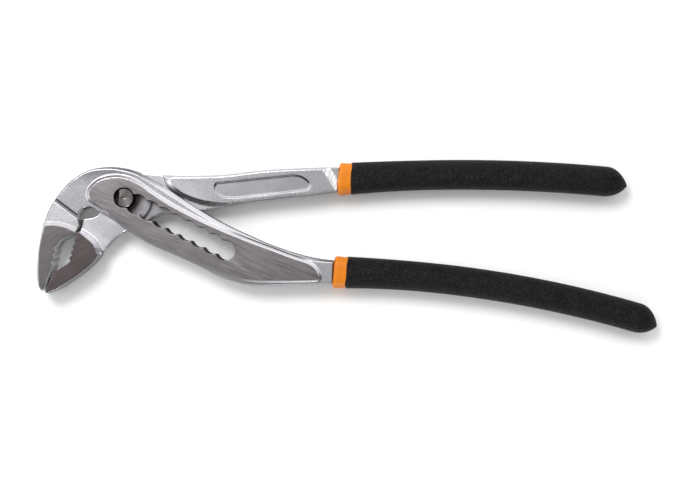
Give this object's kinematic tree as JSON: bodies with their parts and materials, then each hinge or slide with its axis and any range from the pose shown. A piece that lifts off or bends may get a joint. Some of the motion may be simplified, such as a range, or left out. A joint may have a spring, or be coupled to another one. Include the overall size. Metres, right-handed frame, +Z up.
{
  "type": "slip joint pliers",
  "caption": "Adjustable slip joint pliers with a through joint, a toothed slot, angled serrated jaws and long curved dipped grips.",
  "frame": {"origin": "on the pivot axis, at the plane that the pliers lie on, which is the lower end face of the pivot pin", "axes": "+X from the pivot towards the handles, +Y towards the upper handle, away from the jaws, +Z up, out of the face that the picture shows, along the pivot axis"},
  "size_m": [0.2501, 0.0698, 0.011],
  "materials": {
    "satin_chrome": "satin chrome plate over forged steel, with ground pads left darker and brushed",
    "pin_steel": "turned steel, fine concentric marks",
    "orange_coat": "dipped PVC, softly glossy",
    "black_coat": "dipped PVC, fine leathery grain"
  },
  "bodies": {
    "box_lever": {"box_lever": "satin_chrome", "box_lever_grip_liner": "orange_coat", "box_lever_grip": "black_coat"},
    "pivot_pin": {"pivot_pin": "pin_steel"},
    "through_lever": {"through_lever": "satin_chrome", "through_lever_grip_liner": "orange_coat", "through_lever_grip": "black_coat"}
  },
  "joints": [
    {"name": "slip_adjust", "type": "slide", "parent": "box_lever", "child": "pivot_pin", "axis": [0.8882, -0.4594, 0], "range_m": [0, 0.03432]},
    {"name": "handle_swing", "type": "hinge", "parent": "pivot_pin", "child": "through_lever", "pos_m": [0, 0, 0], "axis": [0, 0, 1], "range_deg": [0, 55]}
  ]
}
